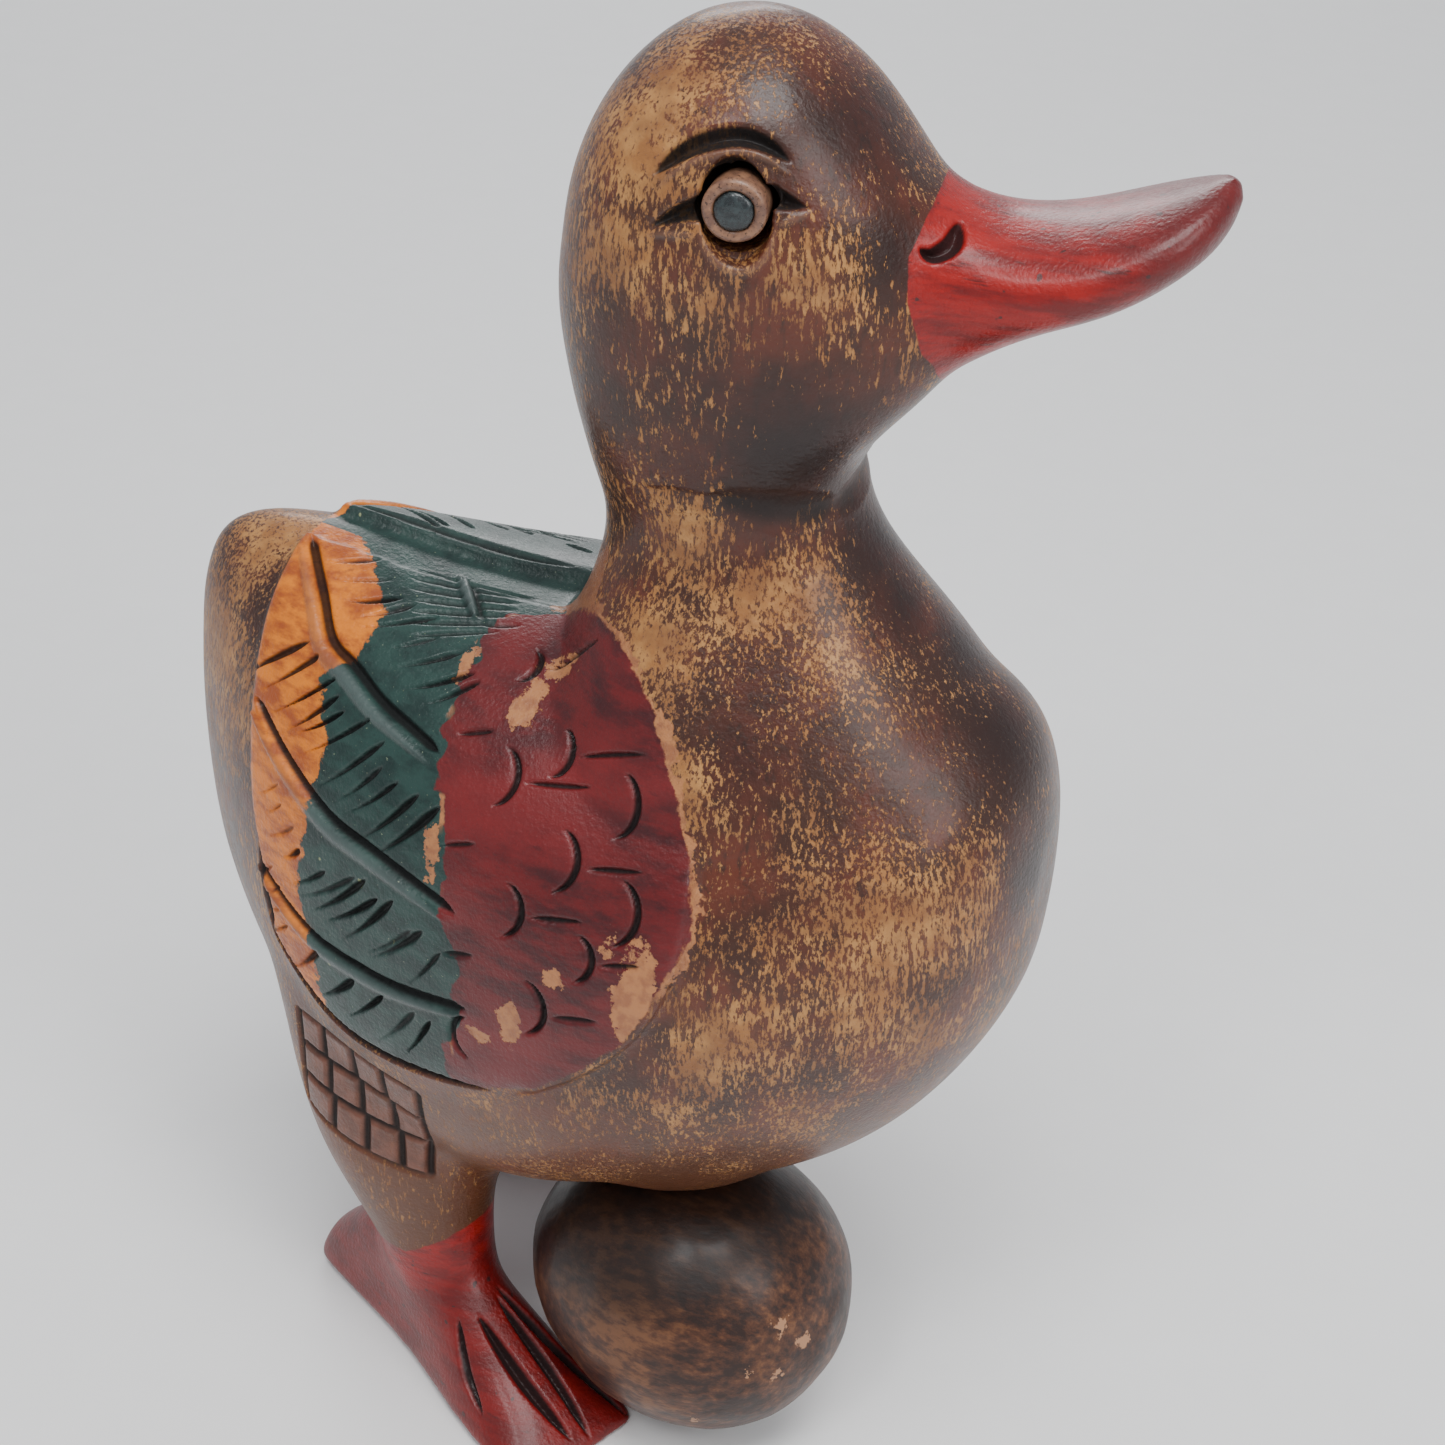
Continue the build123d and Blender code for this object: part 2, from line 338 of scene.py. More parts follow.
def carve_wings(carver):
    """Feather shafts, barbs, the cut under the wing and the scales, on both wings."""
    carver.stroke([carver.on_wing(1, x, 7) for x in range(-84, -33, 5)], 1.7, 0.8)
    for side in SIDES.values():
        # Each shaft is a cut with a ridge beside it. The short one on the right is a ridge with a cut.
        for shaft in SHAFTS:
            carver.wing_stroke(side, shaft, 1.4, 1.7, steady)
            beside = [(x - 1.3, around + 2.3) for x, around in shaft]
            carver.wing_stroke(side, beside, 1.8, -0.8, sharp=1.8)
        if side < 0:
            carver.wing_stroke(side, SHORT_SHAFT, 1.4, -1.3)
            carver.wing_stroke(side, [(x + 2, around + 0.5) for x, around in SHORT_SHAFT], 1.2, 1.0)
        carve_barbs(carver, side)
        rear = [(x - 0.8, around) for x, around in WING_EDGE[1:6]]
        carver.wing_stroke(side, rear, 1.8, 1.4, steady)
        under = [(-79, 97.5), (-72, 106.5), (-62, 113), (-50, 113.5), (-36, 110.5), (-22, 107)]
        carver.wing_stroke(side, under, 1.7, 2.6, sharp=2.0)
        for scale in SCALES[1 if side > 0 else 0:]:
            carve_scale(carver, side, *scale)
        # Short cuts near the end of the green.
        for x, around in ((-41, 16), (-36, 37), (-34, 56), (-32, 77)):
            carver.wing_stroke(side, [(x, around), (x + 7, around - 2)], 0.8, 1.0)


def carve_barbs(carver, side):
    """Rows of gouges that rise forwards, between one shaft and the next."""
    rows = [
        # first middle, last middle, how many, length, half width, depth
        ((-73, 10), (-41, 31), 9, 17.0, 1.3, 1.6),
        ((-81, 29), (-43, 57), 11, 19.0, 1.4, 1.9),
        ((-78, 56), (-70, 70), 4, 9.0, 1.2, 1.3),
        ((-66, 74), (-38, 82), 8, 19.0, 1.3, 1.8),
        ((-67, 100), (-38, 103), 5, 16.0, 1.4, 1.8),
        ((-80, 78), (-75, 96), 4, 8.0, 1.1, 1.2),
    ]
    for (x0, a0), (x1, a1), count, length, half_width, depth in rows:
        for i in range(count):
            t = i / (count - 1)
            x = x0 + (x1 - x0) * t + rng.uniform(-1.3, 1.3)
            around = a0 + (a1 - a0) * t + rng.uniform(-1.3, 1.3)
            tilt = math.radians(16 + 0.39 * around + rng.uniform(-7, 7))
            reach = length * rng.uniform(0.65, 1.1)
            start = (x - reach / 2 * math.cos(tilt), around + reach / 2 * math.sin(tilt))
            bend = (x, around + 0.6)
            end = (x + reach / 2 * math.cos(tilt), around - reach / 2 * math.sin(tilt))
            wide = half_width * rng.uniform(0.6, 1.15)
            carver.wing_stroke(side, [start, bend, end], wide, depth * rng.uniform(0.5, 1.1), deep_end)
    # Lines that run together on the back, fewer and further round on the left.
    for i in range(8 if side < 0 else 5):
        around = 2.5 + 2.0 * i + (15 if side > 0 else 0)
        start = (-64 + 1.5 * i, around * 1.25 + 1)
        carver.wing_stroke(side, [start, (-37, around)], 0.9, 0.8)


def carve_scale(carver, side, x, around, size, bulge, cut_length):
    """A crescent with a thin cut in front of it."""
    arc = []
    for i in range(7):
        angle = math.radians(-70 + 140 * i / 6)
        arc.append((x + bulge * size * (math.cos(angle) - 0.8), around + size * math.sin(angle)))
    carver.wing_stroke(side, arc, 1.0, 1.7, sharp=1.0)
    if cut_length:
        front = x + size * 0.5
        carver.wing_stroke(side, [(front, around), (front + cut_length, around - 2)], 0.8, 1.1)


# Thigh patch corners in the trunk's frame, right side: x, y, z.
PATCH = [(-77, -36, 90), (-43, -48, 89), (-46, -39, 57), (-76, -34, 65)]
PATCH_COLUMNS = 4
PATCH_ROWS = 3
# Bare wood between the wings and the neck, in the wing's map.
NECK_BASE = [(-34, 0), (-32, 5), (-24, 12), (-14, 17), (-12, 11), (-20, 0)]


def beside_stance(side, x, y, z):
    """A place on the right leg, or its mirror place on the left leg, as metres."""
    return trunk_point(x, y if side < 0 else 2 * STANCE_OFFSET - y, z)


def patch_place(carver, side, u, v):
    """The place on the thigh at u along and v down the patch, both from 0 to 1."""
    top = Vector(PATCH[0]).lerp(Vector(PATCH[1]), u)
    low = Vector(PATCH[3]).lerp(Vector(PATCH[2]), u)
    return carver.nearest(beside_stance(side, *top.lerp(low, v)))


def carve_patch(carver, side):
    """A slanting brick pattern of raised cells."""
    for row in range(PATCH_ROWS + 1):
        v = row / PATCH_ROWS
        line = [patch_place(carver, side, i / 8, v) for i in range(9)]
        edge = row in (0, PATCH_ROWS)
        carver.stroke(line, 0.9 if edge else 1.2, 0.8 if edge else 1.1, steady)
    for row in range(PATCH_ROWS):
        for column in range(PATCH_COLUMNS + 1):
            u = column / PATCH_COLUMNS
            shift = 0.0 if column in (0, PATCH_COLUMNS) else 0.035 * (row - 1)
            v0, v1 = row / PATCH_ROWS, (row + 1) / PATCH_ROWS
            line = [patch_place(carver, side, u + shift, v0 + (v1 - v0) * i / 4) for i in range(5)]
            carver.stroke(line, 1.3, 1.3, steady)


def carve_toes(carver, side):
    """Long cuts between the toes."""
    cuts = [
        ([(-35, -32, 24), (-18, -33, 13), (-1, -36, 1)], 1.8, 2.3),
        ([(-34, -34, 23), (-20, -39, 13), (-6, -46, 3)], 1.6, 2.1),
        ([(-36, -40, 22), (-22, -45, 11), (-9, -49, 4)], 1.8, 2.3),
        ([(-40, -42, 21), (-35, -47, 12), (-28, -52, 6)], 1.4, 1.7),
    ]
    for places, half_width, depth in cuts:
        path = [carver.nearest(beside_stance(side, *p)) for p in places]
        dense = [carver.nearest(p) for p, _ in along(path, 2 * MM)]
        carver.stroke(dense, half_width, depth)


# Eye sockets, brows and nostrils, in the head's frame: x and z, on the side of the head.
EYE = (7.7, 21.0)
EYE_R = 5.3
SOCKET = (7.6, 20.5)  # the middle of the hollow round the eye
SOCKET_SIZE = (5.8, 8.6)  # half width and half height
SOCKET_DEPTH = 2.2
SOCKET_WALL = 0.12  # share of the hollow's size taken by its wall
LID_OUT = 0.6  # how far the upper lid lies outside the hollow
EYE_CORNERS = [
    [(3.0, 21.6), (-1.8, 21.0), (-7.8, 18.9)],
    [(12.6, 22.4), (16.2, 21.8), (20.6, 20.4)],
]
LOWER_LIDS = [
    [(1.4, 17.4), (-3.0, 17.8), (-8.4, 18.0)],
    [(14.0, 18.1), (17.2, 18.9), (21.0, 19.8)],
]
BROW = [(-5.6, 26.6), (-1.5, 29.6), (3.0, 31.6), (8.9, 32.4), (13.6, 30.8), (17.5, 27.4)]
NOSTRIL = [(33.9, 15.0, 8.6), (35.6, 14.0, 6.9), (38.2, 11.6, 7.2), (39.8, 8.4, 10.6)]  # x, sideways, z


def socket_reach(head):
    """0 in the middle of the eye's hollow and 1 at its rim."""
    return np.hypot((head[:, 0] - SOCKET[0]) / SOCKET_SIZE[0], (head[:, 2] - SOCKET[1]) / SOCKET_SIZE[1])


def carve_face(carver):
    """Eye hollows with their lids and corners, brows and nostrils, on both sides."""
    head = in_head(carver.co)
    for side in SIDES.values():
        def place(x, z, out=27.0):
            """The skin's nearest place to a place beside the head."""
            return carver.nearest(head_point(x, side * out, z))

        on_side = (head[:, 1] * side > 15) & (head[:, 2] > 5)
        depth = SOCKET_DEPTH * ramp(-socket_reach(head), -1, -1 + SOCKET_WALL)
        carver.sink = np.where(on_side, np.maximum(carver.sink, depth), carver.sink)
        lid = []
        for i in range(17):
            angle = math.radians(188 + 164 * i / 16)
            rim_x = (SOCKET_SIZE[0] + LID_OUT) * math.cos(angle)
            rim_z = (SOCKET_SIZE[1] + LID_OUT) * math.sin(angle)
            lid.append(place(SOCKET[0] + rim_x, SOCKET[1] + rim_z))
        carver.stroke(lid, 0.9, -0.5)
        for corner in EYE_CORNERS:
            carver.stroke([place(x, z) for x, z in corner], 2.2, 2.4, thin_end, sharp=2.0)
        for edge in LOWER_LIDS:
            carver.stroke([place(x, z) for x, z in edge], 0.8, -0.45)
        carver.stroke([place(x, z, 24.0) for x, z in BROW], 2.0, 2.2, sharp=1.6)
        carver.stroke([place(x, z - 2.3, 25.0) for x, z in BROW], 0.9, -0.5)
        path = [carver.nearest(head_point(x, side * y, z)) for x, y, z in NOSTRIL]
        carver.stroke(path, 1.9, 2.4, sharp=1.6)


# Stretches of the crease: first and last angle, half width, depth.
CREASE = [(-110, -76, 1.4, 0.25), (-82, -20, 5.0, 0.7), (-30, 60, 5.0, 0.6)]
CREASE_Z = 219


def carve_neck(carver):
    """The soft crease under the cheeks, all the way round the front."""
    for first, last, half_width, depth in CREASE:
        crease = []
        for i in range(9):
            angle = math.radians(first + (last - first) * i / 8)
            x, y = 3 + 26 * math.cos(angle), 26 * math.sin(angle)
            crease.append(carver.nearest(trunk_point(x, y, CREASE_Z + 1.8 * math.sin(3 * angle))))
        carver.stroke(crease, half_width, depth, sharp=2.0)


# ---------------- the skin
ROUNDS_ALL_OVER = 8  # rounds of smoothing
ROUNDS_OF_BLENDING = 110
ROUNDS_AFTER_SPLIT = 3
WOOD_NODES = ("body", "head", "right_foot", "left_foot", "neck_dowel", "right_leg_dowel", "left_leg_dowel")


def blend_weight(co):
    """Where the carver rounded one form into the next: neck, cheeks, thighs, ankles."""
    p = in_trunk(co)
    head = in_head(co)
    x, y, z = p.T
    neck = ramp(z, 196, 204) * ramp(-z, -232, -222)
    cheek = ramp(head[:, 0], 16, 24) * ramp(-head[:, 0], -50, -40) * ramp(z, 215, 225)
    thigh = ramp(-z, -112, -100) * ramp(z, 6, 14) * ramp(-x, 10, 20)
    belly = 0.5 * ramp(-z, -95, -80)
    shoulder = ramp(x, -20, -8) * ramp(z, 165, 178) * ramp(-z, -215, -205) * 0.6
    seat = ramp(-np.hypot(x - EGG_SEAT[0], y - EGG_SEAT[1]), -45, -30) * ramp(-z, -80, -70)
    weight = np.maximum.reduce([neck, 0.55 * cheek, thigh, belly, shoulder])
    return np.clip(weight * (1 - seat), 0, 1)


def within(values, low, high):
    return (values > low) & (values < high)


def detail_wanted(co):
    """Vertices in the parts that get fine carving."""
    p = in_trunk(co)
    head = in_head(co)
    around = round_of(p)
    wing = (edge_distance(p[:, 0], around, mirrored_outline(WING_EDGE)) > -4) & (p[:, 2] < 196)
    patch = within(p[:, 0], -84, -40) & within(p[:, 2], 50, 96) & (np.abs(p[:, 1] - STANCE_OFFSET) > 26)
    toes = within(p[:, 0], -48, 6) & (p[:, 2] < 30)
    eye = (np.abs(head[:, 1]) > 14) & within(head[:, 0], -9, 21) & within(head[:, 2], 9, 36)
    nostril = within(head[:, 0], 30, 43) & (np.abs(head[:, 1]) > 5) & (head[:, 2] > 3)
    crease = np.abs(p[:, 2] - 218) < 5
    return wing | patch | toes | eye | nostril | crease


def add_value(mesh, name, values):
    layer = mesh.attributes.new(name, "FLOAT", "POINT")
    layer.data.foreach_set("value", np.ascontiguousarray(values, dtype=np.float32))


FAR_OUTSIDE = -20.0
NO_CHIP = -9.0
# Chips in the shoulder's paint on the right wing: x, degrees round, radius in x, radius round.
CHIPS = [
    (-22, 22, 3.6, 1.7), (-25, 29, 2.6, 4.5), (-17, 86, 2.6, 5.0), (-24, 93, 2.6, 1.4), (-8, 74, 1.7, 1.8),
    (2, 64, 1.0, 2.0), (8, 74, 4.2, 10.0), (-36, 58, 1.6, 4.6), (-30, 7, 1.6, 1.8), (-40, 24, 1.0, 2.4),
]
# Places where the brown is rubbed through to ochre, and dark places, which are partly dark paint and partly
# painted shade under the cheeks, the chin, the neck's front and the belly and low between the legs:
# trunk-frame place, radius, strength.
RUBBED = [
    (-10, -23, 280, 13, 1.0), (-5, -18, 289, 9, 0.9), (-10, -27, 267, 9, 0.9),
    (-26, -8, 268, 16, 0.6), (23, -22, 264, 8, 0.9), (10, -27, 256, 7, 0.5),
    (4, -22, 213, 9, 0.8), (18, -20, 204, 10, 0.9), (28, -19, 197, 9, 0.7),
    (-2, -28, 194, 8, 0.9), (11, -41, 176, 7, 0.8), (51, -33, 150, 16, 0.7),
    (47, -38, 134, 12, 0.65), (22, -52, 126, 10, 0.6), (18, -46, 98, 18, 0.5),
    (-20, -46, 80, 22, 0.5), (-50, -40, 88, 18, 0.4), (-58, -40, 52, 14, 0.35),
    (-92, -8, 180, 13, 0.9), (-100, -16, 158, 18, 0.7), (-14, 22, 278, 16, 0.8),
    (20, 26, 262, 10, 0.7), (10, 26, 206, 14, 0.8), (44, 32, 160, 18, 0.8),
    (40, 40, 128, 14, 0.7), (18, 46, 98, 18, 0.6), (-25, 46, 80, 20, 0.5),
    (-100, 14, 158, 18, 0.6),
]
DARK_PAINT_AND_SHADE = [
    (21, -20, 231, 18, 1.0), (5, -25, 228, 9, 0.6), (30, 0, 209, 12, 0.9),
    (36, -4, 198, 10, 0.8), (-14, -24, 236, 12, 0.5), (-3, -26, 246, 9, 0.4),
    (24, -8, 285, 13, 0.8), (34, -12, 267, 9, 0.7), (8, -25, 240, 14, 0.5),
    (22, -30, 188, 9, 0.5), (19, -36, 180, 9, 0.6), (58, -3, 176, 16, 0.8),
    (66, -8, 152, 14, 0.9), (45, 4, 188, 12, 0.8), (-84, -28, 176, 12, 0.7),
    (24, 20, 230, 15, 0.9), (62, 24, 150, 14, 0.6), (0, 0, 60, 20, 0.8),
    (-48, -18, 40, 9, 0.7), (-48, 26, 40, 9, 0.7), (30, 0, 66, 22, 0.6),
]


def blobs(p, places):
    """Soft round spots, each with a value of its strength in the middle."""
    out = np.zeros(len(p))
    for *place, radius, strength in places:
        near = ((p - np.array(place)) ** 2).sum(1) / radius ** 2
        out = np.maximum(out, strength * np.exp(-near))
    return out


def paint_map(mesh, sink, lift):
    """Values on the skin that the paint reads: distances in millimetres from each paint border."""
    co = coordinates(mesh)
    p = in_trunk(co)
    head = in_head(co)
    around = round_of(p)
    x, y, z = p.T
    wing = edge_distance(x, around, mirrored_outline(WING_EDGE))
    wing = np.where(z > 193, FAR_OUTSIDE, wing)
    add_value(mesh, "wing", wing)
    orange_back = 12 * ramp(-around, -62, -46) * (y > 0)
    green_front = 16 * ramp(-around, -48, -34) * (y > 0)
    add_value(mesh, "orange", np.interp(around, *np.array(ORANGE_END, float).T) - orange_back - x)
    add_value(mesh, "green", np.interp(around, *np.array(GREEN_END, float).T) + green_front - x)
    border = np.interp(head[:, 2], [-12, -9, 1, 8, 13, 16], [34, 32.7, 31.5, 32.3, 35.2, 37])
    add_value(mesh, "bill", np.where(z > 225, head[:, 0] - border, FAR_OUTSIDE))
    ankle = ANKLE_JOINT_Z / MM + 2 + 0.65 * np.clip(x + 52, -1.5, 15)
    add_value(mesh, "ankle", ankle - z)
    left = y >= 0  # the left wing has the same chips, further forwards and further round
    chip = np.full(len(x), NO_CHIP)
    for cx, ca, rx, ra in CHIPS:
        near = np.hypot((x - cx - 3 * left) / rx, (around - ca - 6 * left) / ra)
        chip = np.maximum(chip, (1 - near) * min(rx, ra))
    add_value(mesh, "chip", chip)
    neck_base = edge_distance(x, around, mirrored_outline(NECK_BASE))
    upper_end = 197 + 3 * np.sin(0.35 * y) + 2 * np.sin(0.8 * y + 1)
    add_value(mesh, "bare", np.minimum(neck_base, 0.6 * (upper_end - z)))
    corners = [(a, c) for a, _, c in PATCH]
    on_thigh = np.abs(y - STANCE_OFFSET) > 24
    add_value(mesh, "patch", np.where(on_thigh, edge_distance(x, z, corners), FAR_OUTSIDE))
    add_value(mesh, "round", around)
    from_eye = np.hypot(head[:, 0] - EYE[0], head[:, 2] - EYE[1])
    sloping = ramp(EYE[1] - head[:, 2], 1.5, 4.0) * ramp(from_eye, EYE_R + 0.3, EYE_R + 1.8)
    under_eye = sloping * (socket_reach(head) < 1.15) * (np.abs(head[:, 1]) > 15)
    # How deep the carving goes. The paint blackens it as painted shade in the gouges, the eye hollows and
    # the neck's crease, together with dark paint pooled there, less so on the slope under the eye.
    add_value(mesh, "cut", np.clip(sink / 1.2, 0, 1) * (1 - 0.8 * under_eye))
    # Raised ridges, which the paint makes paler: paint rubbed thin there, and a painted highlight.
    add_value(mesh, "ridge", np.clip((lift - sink) / 0.9, 0, 1))
    add_value(mesh, "rubbed", blobs(p, RUBBED))
    # The dark value: dark paint, and painted shade under the head, the belly and between the legs.
    add_value(mesh, "dark", blobs(p, DARK_PAINT_AND_SHADE))


def keep_between(source, low, high):
    """The part of the skin between two heights, still open, and the edges of its cuts."""
    bm = bmesh.new()
    bm.from_mesh(source)
    cuts = []
    for z, keeps_above in ((low, True), (high, False)):
        if z is None:
            continue
        geometry = bm.verts[:] + bm.edges[:] + bm.faces[:]
        cut = bmesh.ops.bisect_plane(bm, geom=geometry, dist=1e-7, plane_co=(0, 0, z), plane_no=(0, 0, 1),
                                     clear_inner=keeps_above, clear_outer=not keeps_above)
        cuts += [e for e in cut["geom_cut"] if isinstance(e, bmesh.types.BMEdge)]
    return bm, cuts


def close_cuts(bm, cuts):
    """Flat caps with corners of their own, so that they don't shade the skin."""
    cuts = [e for e in cuts if e.is_valid]
    copied = bmesh.ops.duplicate(bm, geom=cuts)
    rims = [e for e in copied["geom"] if isinstance(e, bmesh.types.BMEdge)]
    caps = bmesh.ops.triangle_fill(bm, use_beauty=True, use_dissolve=False, edges=rims)
    faces = [f for f in caps["geom"] if isinstance(f, bmesh.types.BMFace)]
    for face in faces:
        face.smooth = False


def shown(name, mesh):
    piece = bpy.data.objects.new(name, mesh)
    bpy.context.scene.collection.objects.link(piece)
    return piece


SEAT_INNER = 7.0  # within this distance of the seat's middle the belly comes down fully
SEAT_OUTER = 22.0
SEAT_GAP = 0.1
SEAT_DROP = 4.0  # and no further than this


def seat_on_egg(mesh):
    """Brings the belly down on to the top of the egg, round their shared dowel."""
    co = coordinates(mesh)
    p = in_trunk(co)
    across = np.hypot(p[:, 0] - EGG_SEAT[0], p[:, 1] - EGG_SEAT[1])
    egg_low, egg_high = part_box("egg")
    egg_radius = (egg_high.z - egg_low.z) / 2 / MM
    egg_top = egg_radius + np.sqrt(np.maximum(egg_radius ** 2 - across ** 2, 0))
    share = ramp(-across, -SEAT_OUTER, -SEAT_INNER) * (p[:, 2] > 50) * ramp(-p[:, 2], -82, -72)
    co[:, 2] -= share * np.clip(p[:, 2] - egg_top - SEAT_GAP, 0, SEAT_DROP) * MM
    set_coordinates(mesh, co)


LIE = ("liex", "liey", "liez")  # the whole skin's normals, kept on it until it has been cut


def make_skin():
    """The whole carving as one skin, to be cut at its glued joints into separate pieces."""
    skin = even_mesh(WOOD_NODES, VOXEL)
    smooth(skin, 1.0, ROUNDS_ALL_OVER)
    smooth(skin, blend_weight(coordinates(skin)), ROUNDS_OF_BLENDING)
    seat_on_egg(skin)
    refine(skin, detail_wanted(coordinates(skin)))
    smooth(skin, 1.0, ROUNDS_AFTER_SPLIT)
    carver = Carver(skin)
    carve_wings(carver)
    for side in SIDES.values():
        carve_patch(carver, side)
        carve_toes(carver, side)
    carve_face(carver)
    carve_neck(carver)
    carver.finish()
    paint_map(skin, carver.sink, carver.lift)
    for name, values in zip(LIE, normals(skin).T):
        add_value(skin, name, values)
    return skin


def piece_of_skin(skin, name, low, high, side=0):
    """One closed piece between two glued joints, shaded as the whole skin. A side keeps that side only."""
    bm, cuts = keep_between(skin, low, high)
    if side:
        away = [v for v in bm.verts if (v.co.y - trunk_point(0, STANCE_OFFSET, 0).y) * side < 0]
        bmesh.ops.delete(bm, geom=away, context="VERTS")
    close_cuts(bm, cuts)
    mesh = bpy.data.meshes.new(name)
    bm.to_mesh(mesh)
    bm.free()
    lie = np.empty((len(mesh.vertices), 3), dtype=np.float32)
    for axis, layer in enumerate(LIE):
        values = np.empty(len(mesh.vertices), dtype=np.float32)
        mesh.attributes[layer].data.foreach_get("value", values)
        lie[:, axis] = values
    cap = np.zeros(len(mesh.vertices), bool)
    for polygon in mesh.polygons:
        if not polygon.use_smooth:
            cap[list(polygon.vertices)] = True
    own = normals(mesh)
    lie[cap] = own[cap]
    lie /= np.maximum(np.linalg.norm(lie, axis=1), 1e-6)[:, None]
    for polygon in mesh.polygons:
        polygon.use_smooth = True
    mesh.normals_split_custom_set_from_vertices([tuple(n) for n in lie])
    for layer in LIE:
        mesh.attributes.remove(mesh.attributes[layer])
    return shown(name, mesh)


# ---------------- paint
class Nodes:
    """A short way to build a material's nodes."""

    def __init__(self, name):
        self.material = bpy.data.materials.new(name)
        self.material.use_nodes = True
        self.tree = self.material.node_tree
        self.tree.nodes.clear()
        self.place = self.new("ShaderNodeTexCoord").outputs["Object"]

    def new(self, kind):
        return self.tree.nodes.new(kind)

    def put(self, value, socket):
        if isinstance(value, bpy.types.NodeSocket):
            self.tree.links.new(value, socket)
        elif isinstance(value, (tuple, list)) and socket.type == "RGBA" and len(value) == 3:
            socket.default_value = (*value, 1.0)
        else:
            socket.default_value = value

    def noise(self, scale, detail=3.0, roughness=0.6, stretch=(1, 1, 1), offset=0.0):
        """Soft noise with features of about 1/scale metres."""
        mapping = self.new("ShaderNodeMapping")
        self.put(self.place, mapping.inputs["Vector"])
        mapping.inputs["Scale"].default_value = stretch
        mapping.inputs["Location"].default_value = (offset, offset * 0.7, -offset)
        node = self.new("ShaderNodeTexNoise")
        self.put(mapping.outputs[0], node.inputs["Vector"])
        node.inputs["Scale"].default_value = scale
        node.inputs["Detail"].default_value = detail
        node.inputs["Roughness"].default_value = roughness
        return node.outputs["Fac"]

    def math(self, kind, a, b=0.0, c=0.0):
        node = self.new("ShaderNodeMath")
        node.operation = kind
        for value, socket in zip((a, b, c), node.inputs):
            self.put(value, socket)
        return node.outputs[0]

    def times(self, a, b):
        return self.math("MULTIPLY", a, b)

    def times_plus(self, a, b, c):
        return self.math("MULTIPLY_ADD", a, b, c)

    def between(self, value, low, high, to_low=0.0, to_high=1.0):
        """Maps low..high to to_low..to_high and holds it there."""
        node = self.new("ShaderNodeMapRange")
        node.interpolation_type = "SMOOTHSTEP"
        for v, name in ((value, "Value"), (low, "From Min"), (high, "From Max"), (to_low, "To Min"),
                        (to_high, "To Max")):
            self.put(v, node.inputs[name])
        return node.outputs[0]

    def mix(self, share, a, b):
        node = self.new("ShaderNodeMix")
        node.data_type = "RGBA"
        node.clamp_factor = True
        self.put(share, node.inputs[0])
        self.put(a, node.inputs[6])
        self.put(b, node.inputs[7])
        return node.outputs[2]

    def value(self, name):
        node = self.new("ShaderNodeAttribute")
        node.attribute_name = name
        return node.outputs["Fac"]

    def bump(self, height, strength, distance):
        node = self.new("ShaderNodeBump")
        node.inputs["Strength"].default_value = strength
        node.inputs["Distance"].default_value = distance
        self.put(height, node.inputs["Height"])
        return node.outputs[0]

    def surface(self, colour, roughness, normal, coat=0.0, coat_roughness=0.2):
        shader = self.new("ShaderNodeBsdfPrincipled")
        self.put(colour, shader.inputs["Base Color"])
        self.put(roughness, shader.inputs["Roughness"])
        self.put(normal, shader.inputs["Normal"])
        shader.inputs["Coat Weight"].default_value = coat
        shader.inputs["Coat Roughness"].default_value = coat_roughness
        shader.inputs["Specular IOR Level"].default_value = 0.35
        output = self.new("ShaderNodeOutputMaterial")
        self.put(shader.outputs[0], output.inputs["Surface"])
        return self.material


CHOCOLATE = (0.040, 0.013, 0.007)
BLACK_BROWN = (0.008, 0.003, 0.003)
RED_BROWN = (0.10, 0.022, 0.010)
OCHRE = (0.30, 0.125, 0.035)
GOLD = (0.40, 0.19, 0.058)
MID_BROWN = (0.13, 0.045, 0.017)
TAN = (0.38, 0.155, 0.058)
DARK_GREEN = (0.005, 0.020, 0.017)
GREEN = (0.014, 0.044, 0.036)
GREY_GREEN = (0.10, 0.125, 0.12)
ORANGE = (0.66, 0.18, 0.006)
DEEP_ORANGE = (0.30, 0.06, 0.008)
BURGUNDY = (0.105, 0.005, 0.006)
DARK_BURGUNDY = (0.040, 0.0035, 0.005)
RED = (0.30, 0.007, 0.005)
DEEP_RED = (0.14, 0.005, 0.005)
STREAK = (0.028, 0.007, 0.007)


